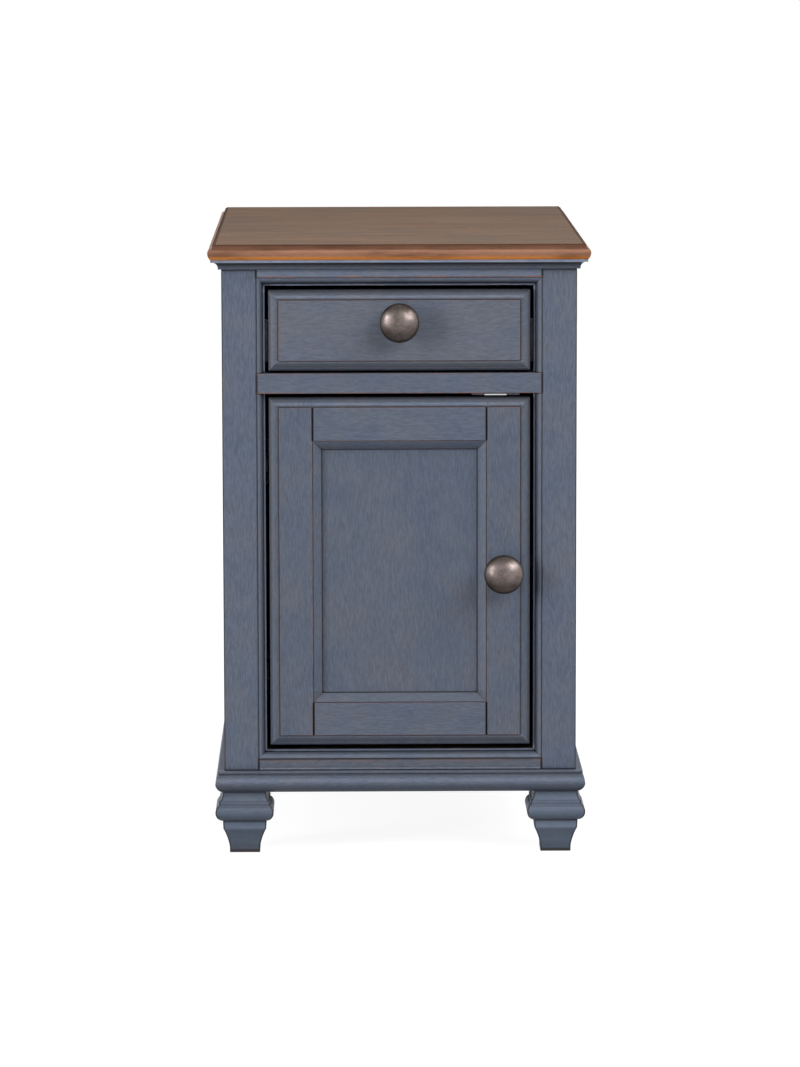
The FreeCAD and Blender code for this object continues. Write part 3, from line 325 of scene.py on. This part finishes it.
def worn_edges_and_painted_highlights(f, colour, corner, width, face, wear):
    # a painted highlight along the edges that look up, red-brown ground worn through in broken lines along
    # the rest
    bent = f.rounded(width)
    edge = f.span(f.vector("DOT_PRODUCT", bent, f.flat_normal)["Value"], 0.985, 0.86)
    # painted highlight on edges that look up
    edge_highlight = f.span(f.minus(f.split(bent)[Z], f.split(f.flat_normal)[Z]), 0.06, 0.3)
    colour = f.scaled(colour, f.plus(f.times(edge_highlight, 0.2), 1.0))
    spared = f.times(edge_highlight, 0.7 if face is None else 0.2)
    rub = f.times(f.times(edge, f.span(corner, 0.62, 0.85)), f.minus(1.0, spared))
    if face is not None:
        rub = f.times(rub, on_face(f, face))
    broken = f.span(f.noise(f.place, 60, 3, 0.65), 0.34, 0.58, 0.2 * wear, wear)
    return f.mix(f.times(rub, 0.85), colour, f.mix(broken, GROUND_DARK, GROUND))


def line_at(f, axis, place):
    # 1 along a line at a place on an axis, on the faces that look forward
    off = f.size(f.minus(mirrored(f, axis), place))
    forward = f.span(f.split(f.facing)[Y], -0.3, -0.6)
    return f.times(f.span(off, LINE_WIDTH, LINE_CORE), forward)


def glazed_joints(f, colour, joints, face):
    # glaze caught in the joints between pieces
    for axis, place, strength in joints:
        line = line_at(f, axis, place)
        if face is not None:
            line = f.times(line, on_face(f, face))
        colour = f.mix(f.times(line, strength), colour, GLAZE_AND_SHADE)
    return colour


def worn_arrises(f, colour, worn):
    # arrises worn through to the ground in broken lines
    for axis, place, strength in worn:
        broken = f.span(f.noise(f.place, 55, 3, 0.65), 0.36, 0.6)
        ground = f.mix(broken, GROUND_DARK, GROUND)
        shown = f.times(line_at(f, axis, place), f.pick(broken, strength * 0.6, strength))
        colour = f.mix(shown, colour, ground)
    return colour


def corner_line(f, colour, middle):
    # darker down the four corners of a square foot, found from its middle, and round its sole
    x, y, z = f.split(f.place)[:3]
    off_x, off_y = f.size(f.minus(x, middle[X])), f.size(f.minus(y, middle[Y]))
    corner = f.span(f.size(f.minus(off_x, off_y)), 2.2 * MM, 0.8 * MM)
    sole = f.span(z, FOOT_SOLE + 0.5 * MM, FOOT_SOLE - 0.5 * MM)
    return f.mix(f.times(f.math("MAXIMUM", corner, sole), 0.85), colour, WARM_GLAZE_AND_SHADE)


def paint_tone(f, grain_place, streak, cloud, lift, grain):
    # clouded, streaked along the grain and darker in the pores
    pores = f.noise(f.shrunk(grain_place, 0.45), 2400, 2, 0.6)
    cloudy = f.span(cloud, *SPREAD, lift - 0.05, lift + 0.05)
    tone = f.plus(f.span(streak, *SPREAD, -grain, grain), cloudy)
    return f.minus(tone, f.span(pores, 0.58, 0.72, 0.0, 0.16))


def blue_paint(name, run, lift=1.0, grey=0.35, paint=PAINT, grain=0.17, wear=0.8, arris=ARRIS,
               narrow=False, face=None, frame=None, middle=None, bands=(), joints=(), worn=()):
    # lift is the tone, grey the share of grey, grain and wear how strongly they show
    f = Finish(name)
    grain_place = along(f, run)
    streak = f.noise(grain_place, 900, 3, 0.65)
    cloud = f.noise(f.place, 24, 4, 0.6)
    colour = f.mix(f.span(cloud, 0.35, 0.68, grey - 0.35, grey + 0.35), paint, PAINT_GREY)
    tone = paint_tone(f, grain_place, streak, cloud, lift, grain)
    if face is not None:
        tone = routed_border_light_and_shade(f, tone, face)
    for low, high, under, over in bands:
        tone = f.times(tone, f.span(f.split(f.place)[Z], low, high, under, over))
    corner = f.hollow(CORNER_REACH)
    colour = glaze_and_painted_shade(f, f.scaled(colour, tone), corner, narrow, face)
    if frame is not None:
        colour = f.scaled(colour, frame_painted_shade_and_highlight(f, *frame))
    colour = worn_edges_and_painted_highlights(f, colour, corner, ARRIS_NARROW if narrow else arris, face, wear)
    colour = worn_arrises(f, glazed_joints(f, colour, joints, face), worn)
    if middle is not None:
        colour = corner_line(f, colour, middle)
    normal = f.bump(streak, 0.12, 0.2 * MM, f.rounded(SOFT_EDGE))
    rough = f.span(streak, *SPREAD, 0.46, 0.58)
    return f.set(Base_Color=colour, Roughness=rough, Normal=normal, Specular_IOR_Level=0.35)


# Brown stain on the top, warm on its moulded edge and orange low on the nose; the flat is painted greyer
# for the sheen it shows
STAIN_AND_SHEEN = srgb(151, 127, 110)
STAIN_AND_SHEEN_GREY = srgb(143, 124, 111)
STAIN_DARK = srgb(58, 34, 24)
STAIN_WARM = srgb(172, 126, 102)
STAIN_ORANGE = srgb(246, 156, 80)
EDGE_STEP = 6.5 * MM
FLAT_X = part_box("top_edge_sides")[1][X] - EDGE_STEP
FLAT_FRONT = -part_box("top_edge_front")[0][Y] - EDGE_STEP
NOSE_LOW, NOSE_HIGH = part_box("top_edge_front")[0][Z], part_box("top_edge_front")[1][Z]


def nose_colour(f, height, streak, figure, depth):
    # light pink-brown with dark streaks, painted shade in the cove above it and an orange line below
    low = f.span(height, NOSE_LOW + 5.5 * MM, NOSE_LOW + 1.5 * MM)
    warm = f.mix(low, STAIN_WARM, STAIN_ORANGE)
    warm = f.mix(f.span(figure, 0.4, 0.72, 0.0, 0.5), warm, STAIN_DARK)
    warm = f.mix(f.span(streak, 0.5, 0.75, 0.0, 0.3), warm, STAIN_DARK)
    cove = f.span(height, NOSE_HIGH - 6.4 * MM, NOSE_HIGH - 4.4 * MM)
    return f.mix(f.times(cove, depth), warm, STAIN_DARK)


def flat_colour(f, step):
    # the flat, with its grain across the top and its grey a painted sheen, darker toward the step where a
    # piece has one: finish gathered there and painted shade
    cloud = f.noise(f.place, 10, 3, 0.5)
    broad = f.noise(along(f, "X"), 75, 4, 0.62)
    flat = f.mix(f.span(cloud, 0.35, 0.7), STAIN_AND_SHEEN, STAIN_AND_SHEEN_GREY)
    flat = f.scaled(flat, f.span(broad, 0.32, 0.68, 0.92, 1.08))
    if not step:
        return flat
    x, y = f.split(f.place)[:2]
    side = f.span(f.size(x), FLAT_X - 2.6 * MM, FLAT_X - 1.4 * MM)
    front = f.span(f.times(y, -1.0), FLAT_FRONT - 3.6 * MM, FLAT_FRONT - 2 * MM)
    return f.mix(f.times(f.math("MAXIMUM", side, front), 0.5), flat, STAIN_DARK)


def stained_top(name, run, step=True, cove=0.62, sheen=0.0):
    # cove is how dark the painted shade in the cove is, sheen how glossy the moulded edge
    f = Finish(name)
    grain_place = along(f, run)
    fine = f.noise(grain_place, 500, 3, 0.62)
    pores = f.noise(f.shrunk(grain_place, 0.5), 2000, 2, 0.6)
    figure = f.noise(f.shrunk(grain_place, 0.3), 260, 3, 0.6)
    height = f.split(f.place)[Z]
    looks_up = f.span(f.split(f.flat_normal)[Z], 0.9, 0.99)
    on_top = f.times(looks_up, f.span(height, NOSE_HIGH - 1.6 * MM, NOSE_HIGH - 1.2 * MM))
    # surfaces that look up take the flat's colour, a painted sheen
    colour = f.mix(on_top, nose_colour(f, height, fine, figure, cove), flat_colour(f, step))
    tone = f.minus(f.span(fine, *SPREAD, 0.9, 1.1), f.span(pores, 0.58, 0.74, 0.0, 0.14))
    # painted shade in corners, toward the dark stain
    corner = f.hollow(1.8 * MM)
    colour = f.mix(f.span(corner, 0.8, 0.5, 0.0, 0.8), f.scaled(colour, tone), STAIN_DARK)
    bent = f.mix(on_top, f.rounded(0.6 * MM), f.normal)
    normal = f.bump(fine, 0.12, 0.2 * MM, bent)
    rough = f.span(fine, *SPREAD, 0.4, 0.5)
    gloss = f.span(on_top, 0.0, 1.0, sheen, 0.0)
    return f.set(Base_Color=colour, Roughness=rough, Normal=normal, Specular_IOR_Level=gloss)


def painted_shut_in_shade(f, colour):
    # painted shade: inner parts darken where they are shut in, as in the gaps round the drawer and the door
    return f.scaled(colour, f.span(f.hollow(300 * MM), 0.16, 0.48, 0.004, 1.0))


INNER_WOOD = (srgb(196, 164, 122), srgb(160, 124, 84))
BOARD = (srgb(176, 146, 110), srgb(150, 118, 84))
BACK_BOARD = (srgb(150, 122, 92), srgb(126, 98, 70))


def plain_wood(name, run, tones):
    # clear finished inner timber or thin board, its rings between a light and a dark tone
    light, dark = tones
    f = Finish(name)
    grain_place = along(f, run)
    ring = f.noise(f.shrunk(grain_place, 0.4), 300, 4, 0.6, 0.6)
    fine = f.noise(grain_place, 1300, 3, 0.6)
    colour = f.mix(f.span(ring, *SPREAD), light, dark)
    colour = f.mix(f.span(fine, 0.6, 0.8, 0.0, 0.45), colour, dark)
    rough = f.span(fine, *SPREAD, 0.52, 0.64)
    normal = f.bump(fine, 0.15, 0.2 * MM, f.rounded(0.6 * MM))
    # painted shade where the timber is shut in
    return f.set(Base_Color=painted_shut_in_shade(f, colour), Roughness=rough, Normal=normal)


KNOB_METAL = srgb(127, 116, 113)
KNOB_DULL = srgb(97, 86, 82)
KNOB_DARK = srgb(30, 24, 20)


def aged_metal_with_painted_shade(name):
    # cast knob metal, clouded duller in places and dark in its pits; painted shade darkens its rim and
    # back, its left side, its top and its bottom, leaving its crown at full tone
    f = Finish(name)
    cloud = f.noise(f.place, 90, 5, 0.65)
    pit = f.noise(f.place, 900, 2, 0.5)
    x, y, z = f.split(f.facing)[:3]
    # painted shade by which way the surface faces
    rim = f.times(f.span(y, -0.76, -0.6, 0.0, 0.92), f.span(y, -0.5, -0.1, 1.0, 0.6))
    below = f.span(z, 0.12, -0.48, 0.0, 0.74)
    above = f.span(z, 0.3, 0.62, 0.0, 0.72)
    left = f.span(x, -0.25, -0.62, 0.0, 0.42)
    colour = f.mix(f.span(cloud, 0.35, 0.68), KNOB_METAL, KNOB_DULL)
    for share in (f.span(pit, 0.64, 0.72, 0.0, 0.85), below, above, left, rim):
        colour = f.mix(share, colour, KNOB_DARK)
    height = f.minus(f.times(cloud, 0.25), f.span(pit, 0.62, 0.72))
    normal = f.bump(height, 0.25, 0.3 * MM)
    rough = f.span(cloud, *SPREAD, 0.29, 0.42)
    return f.set(Base_Color=colour, Roughness=rough, Normal=normal, Metallic=0.9)


def steel(name, tone, rough_low, rough_high, shut_in=True):
    # zinc-plated pressings and screws, lightly brushed
    f = Finish(name)
    cloud = f.noise(f.place, 45, 3, 0.6)
    scratch = f.noise(f.stretch((1.0, 0.05, 1.0)), 2600, 2, 0.5)
    colour = f.mix(f.span(cloud, *SPREAD), tone, darker(tone, 0.86))
    # painted shade on parts shut in inside the case
    if shut_in:
        colour = painted_shut_in_shade(f, colour)
    rough = f.span(scratch, *SPREAD, rough_low, rough_high)
    normal = f.bump(scratch, 0.08, 0.1 * MM, f.rounded(0.3 * MM))
    return f.set(Base_Color=colour, Roughness=rough, Normal=normal, Metallic=1.0)


def moulded_plastic(name, tone):
    f = Finish(name)
    cloud = f.noise(f.place, 160, 3, 0.5)
    grain = f.noise(f.place, 3000, 2, 0.5)
    colour = f.mix(f.span(cloud, *SPREAD), tone, darker(tone, 0.8))
    rough = f.span(cloud, *SPREAD, 0.4, 0.52)
    normal = f.bump(grain, 0.12, 0.1 * MM, f.rounded(0.5 * MM))
    return f.set(Base_Color=colour, Roughness=rough, Normal=normal)


def dress(material, *nodes):
    for name in nodes:
        mesh = frame["nodes"][name].data
        mesh.materials.clear()
        mesh.materials.append(material)


def upright(x, strength):
    # a line that runs up at a distance from the middle
    return (X, x, strength)


def level(z, strength):
    # a line that runs across at a height
    return (Z, z, strength)


def band(base, low, high, under, over):
    # the tone under and over a stretch of height, given in millimetres from a level
    return (base + low * MM, base + high * MM, under, over)


POST_JOINT = upright(POST_INNER - 0.4 * MM, 0.92)


def dress_carcass():
    dress(blue_paint("paint_posts", "Z", grain=0.19, wear=0.35, joints=[upright(CASE_X, 0.9)]),
          "post_front_left", "post_front_right", "rear_posts", "side_panels")
    dress(blue_paint("paint_deep", "Y"), "side_rails")
    # painted light: the top rail is set lighter than the other rails, and lighter still just under the
    # crown, against the shade of the overhang above it
    under_crown = [band(CROWN_LOW, -2.6, -0.4, 1.0, 1.6)]
    dress(blue_paint("paint_top_rail", "X", 1.42, narrow=True, bands=under_crown, joints=[POST_JOINT],
                     worn=[level(FRAME_HIGH + 0.3 * MM, 0.7)]), "top_rail")
    dress(blue_paint("paint_divider", "X", 0.98, joints=[POST_JOINT],
                     worn=[level(DIVIDER_LOW, 0.4), level(DIVIDER_HIGH, 0.3)]), "divider_rail")
    # painted light on the bottom rail just above the base moulding
    over_base = [band(BASE_HIGH, 0.4, 3.4, 4.0, 1.0)]
    dress(blue_paint("paint_bottom_rail", "X", 0.92, 0.75, bands=over_base,
                     joints=[POST_JOINT, level(FRAME_LOW, 0.7)],
                     worn=[level(FRAME_LOW - 1.6 * MM, 0.2)]), "bottom_rail")


def dress_mouldings():
    dress(blue_paint("paint_frame_sides", "Z", narrow=True, joints=[upright(POST_INNER, 0.8)],
                     frame=(X, POST_INNER, -1.0, 0.42, 2.9)), "frame_moulding_sides")
    dress(blue_paint("paint_frame_top", "X", 0.86, narrow=True,
                     frame=(Z, FRAME_HIGH, -1.0, 0.32, 3.1)), "frame_moulding_top")
    dress(blue_paint("paint_frame_bottom", "X", 1.05, narrow=True, joints=[level(FRAME_LOW, 0.7)],
                     frame=(Z, FRAME_LOW, 1.0, 0.5, 1.3)), "frame_moulding_bottom")
    # painted shade in the crown's cove, darkest in the quirk under its fillet, a painted highlight on the
    # fillet and a little painted shade above it
    crown = [band(CROWN_FILLET, -5.6, -1.8, 0.76, 0.06), band(CROWN_FILLET, -1.1, -0.5, 1.0, 42.0),
             band(CROWN_FILLET, 0.6, 1.2, 1.0, 0.66)]
    dress(blue_paint("paint_crown", "round the case", narrow=True, bands=crown), "crown_moulding")
    # painted shade low on the torus and in the cove above it, painted light on the torus top and a little
    # on the fillet
    torus = [band(BASE_LOW, 1.0, 12.5, 0.76, 1.06), band(BASE_LOW, 9.4, 12.8, 0.86, 1.26),
             band(BASE_LOW, 13.4, 17.2, 1.0, 0.54), band(BASE_LOW, 18.3, 19.0, 1.0, 1.16)]
    dress(blue_paint("paint_base", "round the case", narrow=True, bands=torus), "base_moulding")


def dress_feet():
    # the right front foot is a shade lighter than the rest
    # painted shade on the lower block, a painted highlight on the neck and a little painted shade above it
    neck = [band(0.0, 2.0, 16.0, 0.6, 0.94), band(FOOT_NECK, -0.8, 1.0, 0.9, 1.4),
            band(FOOT_NECK, 7.8, 8.8, 1.0, 0.7)]
    for foot in ("foot_front_left", "foot_front_right", "foot_rear_left", "foot_rear_right"):
        low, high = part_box(foot)
        middle = [(a + b) / 2 for a, b in zip(low, high)]
        lift = 1.26 if foot == "foot_front_right" else 1.1
        # the two dark lines in the foot's quirks are glaze and painted shade
        dress(blue_paint("paint_" + foot, "X", lift, 0.1, PAINT_FEET, grain=0.12, wear=0.1,
                         middle=middle, bands=neck,
                         joints=[level(52 * MM, 0.35), level(36.8 * MM, 0.4)]), foot)


def dress_door_and_drawer():
    routed = {"arris": ARRIS_ROUTED}
    dress(blue_paint("paint_drawer", "X", 1.02, 0.75, face=DRAWER_FACE, **routed), "drawer_front")
    dress(blue_paint("paint_stiles", "Z", 0.93, wear=1.0, face=DOOR_FACE, **routed),
          "door_stile_left", "door_stile_right")
    dress(blue_paint("paint_door_rails", "X", 0.98, wear=1.0, face=DOOR_FACE,
                     joints=[upright(STILE_INNER - 0.4 * MM, 0.95)], **routed),
          "door_rail_top", "door_rail_bottom")
    dress(blue_paint("paint_panel", "Z", 0.93), "door_panel")
    sill = [band(PANEL_LOW[Z], 11.0, 13.0, 0.8, 1.0)]
    dress(blue_paint("paint_round_panel", "round the panel", 0.97, wear=0.15, bands=sill),
          "door_moulding")


def dress_top():
    dress(stained_top("stain_panel", "X", step=False), "top_panel")
    dress(stained_top("stain_across", "X"), "top_edge_front", "top_edge_rear")
    dress(stained_top("stain_deep", "Y", cove=0.2, sheen=0.1), "top_edge_sides")


def dress_inside():
    dress(plain_wood("inner_wood_deep", "Y", INNER_WOOD), "drawer_sides", "slide_mounting_rails")
    dress(plain_wood("inner_wood_across", "X", INNER_WOOD), "drawer_inner_front", "drawer_back",
          "rear_rails", "corner_blocks")
    dress(plain_wood("inner_wood_upright", "Z", INNER_WOOD), "hinge_strip")
    dress(plain_wood("board_across", "X", BOARD), "cabinet_floor", "shelf", "drawer_bottom")
    dress(plain_wood("board_upright", "Z", BACK_BOARD), "back_panel")


def dress_fittings():
    dress(aged_metal_with_painted_shade("knob_metal"), "drawer_knob", "door_knob")
    dress(steel("plated_steel", srgb(186, 186, 188), 0.28, 0.4), "slide_cabinet_members",
          "slide_drawer_members", "slide_middle_left", "slide_middle_right", "hinge_plates",
          "hinge_arms", "hinge_cups", "catch_strike", "shelf_pins")
    dress(steel("catch_steel", srgb(214, 220, 220), 0.2, 0.3, shut_in=False), "catch_magnet")
    dress(steel("screw_steel", srgb(170, 165, 150), 0.3, 0.45), "top_screws", "back_screws",
          "drawer_screws", "door_screws", "hinge_screws", "foot_bolts")
    dress(moulded_plastic("catch_plastic", srgb(112, 106, 122)), "catch_housing")
    dress(moulded_plastic("glide_plastic", srgb(58, 56, 54)), "foot_glides")


# Studio
FLOOR_REACH = 6.0
FLOOR_TONE, FLOOR_TONE_DARK = srgb(112, 112, 114), srgb(106, 106, 108)
FLOOR_NEAR, FLOOR_FAR = 0.6, 1.6
SHADOW_KEEP = 0.92
FLOOR_SHADED = (0.3, 0.3, 0.3, 1.0)
WORLD_TONE, WORLD_STRENGTH = srgb(240, 243, 248), 0.2
WHITE = (1.0, 1.0, 1.0, 1.0)
MIDDLE_OF_TABLE = (0.0, 0.0, 0.4)

# Each light: its place, what it aims at, its width and height, and its watts
LIGHTS = {
    "overhead": ((0.0, -0.9, 2.6), MIDDLE_OF_TABLE, 2.4, 2.0, 9),
    "front_left": ((-3.0, -2.0, 1.2), MIDDLE_OF_TABLE, 0.7, 2.1, 76),
    "front_right": ((2.5, -2.1, 2.5), (0.0, 0.0, 0.35), 2.6, 1.8, 100),
}


def seen_directly(tree):
    # 1 for what the camera, a gloss or a clear material sees, 0 for what lights the object
    path = tree.nodes.new("ShaderNodeLightPath")
    seen = path.outputs["Is Camera Ray"]
    for other in ("Is Glossy Ray", "Is Transmission Ray"):
        either = tree.nodes.new("ShaderNodeMath")
        either.operation = "MAXIMUM"
        tree.links.new(seen, either.inputs[0])
        tree.links.new(path.outputs[other], either.inputs[1])
        seen = either.outputs[0]
    return seen


def pick_seen(tree, lighting, seen, output):
    pick = tree.nodes.new("ShaderNodeMixShader")
    tree.links.new(seen_directly(tree), pick.inputs[0])
    tree.links.new(lighting.outputs[0], pick.inputs[1])
    tree.links.new(seen.outputs[0], pick.inputs[2])
    tree.links.new(pick.outputs[0], output.inputs[0])


def floor_material():
    # white as it is seen, with the table's soft shadow near it, and a mid grey as it lights the table
    f = Finish("studio_floor")
    cloud = f.noise(f.place, 2, 2, 0.5)
    f.set(Base_Color=f.mix(f.span(cloud, *SPREAD), FLOOR_TONE, FLOOR_TONE_DARK), Roughness=0.9)
    glow = f.tree.nodes.new("ShaderNodeEmission")
    distance = f.vector("LENGTH", f.place)["Value"]
    f.fill(glow.inputs[1], f.span(distance, FLOOR_NEAR, FLOOR_FAR, SHADOW_KEEP, 1.0))
    matt = f.tree.nodes.new("ShaderNodeBsdfDiffuse")
    matt.inputs[0].default_value = FLOOR_SHADED
    white = f.tree.nodes.new("ShaderNodeAddShader")
    f.fill_all(white, (glow.outputs[0], matt.outputs[0]))
    pick_seen(f.tree, f.shader, white, f.out)
    return f.material


def build_floor():
    mesh = bpy.data.meshes.new("studio_floor")
    r = FLOOR_REACH
    mesh.from_pydata([(-r, -r, 0), (r, -r, 0), (r, r, 0), (-r, r, 0)], [], [(0, 1, 2, 3)])
    mesh.materials.append(floor_material())
    floor = bpy.data.objects.new("studio_floor", mesh)
    bpy.context.scene.collection.objects.link(floor)


def background(tree, tone, strength):
    node = tree.nodes.new("ShaderNodeBackground")
    node.inputs[0].default_value = tone
    node.inputs[1].default_value = strength
    return node


def build_world():
    world = bpy.data.worlds.new("studio_world")
    bpy.context.scene.world = world
    world.use_nodes = True
    tree = world.node_tree
    tree.nodes.clear()
    soft = background(tree, WORLD_TONE, WORLD_STRENGTH)
    pick_seen(tree, soft, background(tree, WHITE, 1.0), tree.nodes.new("ShaderNodeOutputWorld"))


def soft_light(name, place, aim, width, height, watts):
    light = bpy.data.lights.new(name, "AREA")
    light.shape = "RECTANGLE"
    light.size = width
    light.size_y = height
    light.energy = watts
    lamp = bpy.data.objects.new(name, light)
    bpy.context.scene.collection.objects.link(lamp)
    lamp.location = place
    lamp.rotation_euler = (Vector(aim) - Vector(place)).to_track_quat("-Z", "Y").to_euler()


def build_camera():
    data = bpy.data.cameras.new("photo_camera")
    data.lens = CAMERA_LENS
    data.sensor_width = SENSOR
    camera = bpy.data.objects.new("photo_camera", data)
    bpy.context.scene.collection.objects.link(camera)
    turn = Matrix.Rotation(math.radians(CAMERA_TURN), 4, "Z")
    fall = Matrix.Rotation(math.radians(90 - CAMERA_FALL), 4, "X")
    lean = Matrix.Rotation(math.radians(-CAMERA_LEAN), 4, "Z")
    camera.matrix_world = Matrix.Translation(CAMERA_AT) @ turn @ fall @ lean
    bpy.context.scene.camera = camera


dress_carcass()
dress_mouldings()
dress_feet()
dress_door_and_drawer()
dress_top()
dress_inside()
dress_fittings()
build_floor()
build_world()
for light_name, light_values in LIGHTS.items():
    soft_light(light_name, *light_values)
build_camera()
bpy.context.scene.view_settings.view_transform = "Standard"
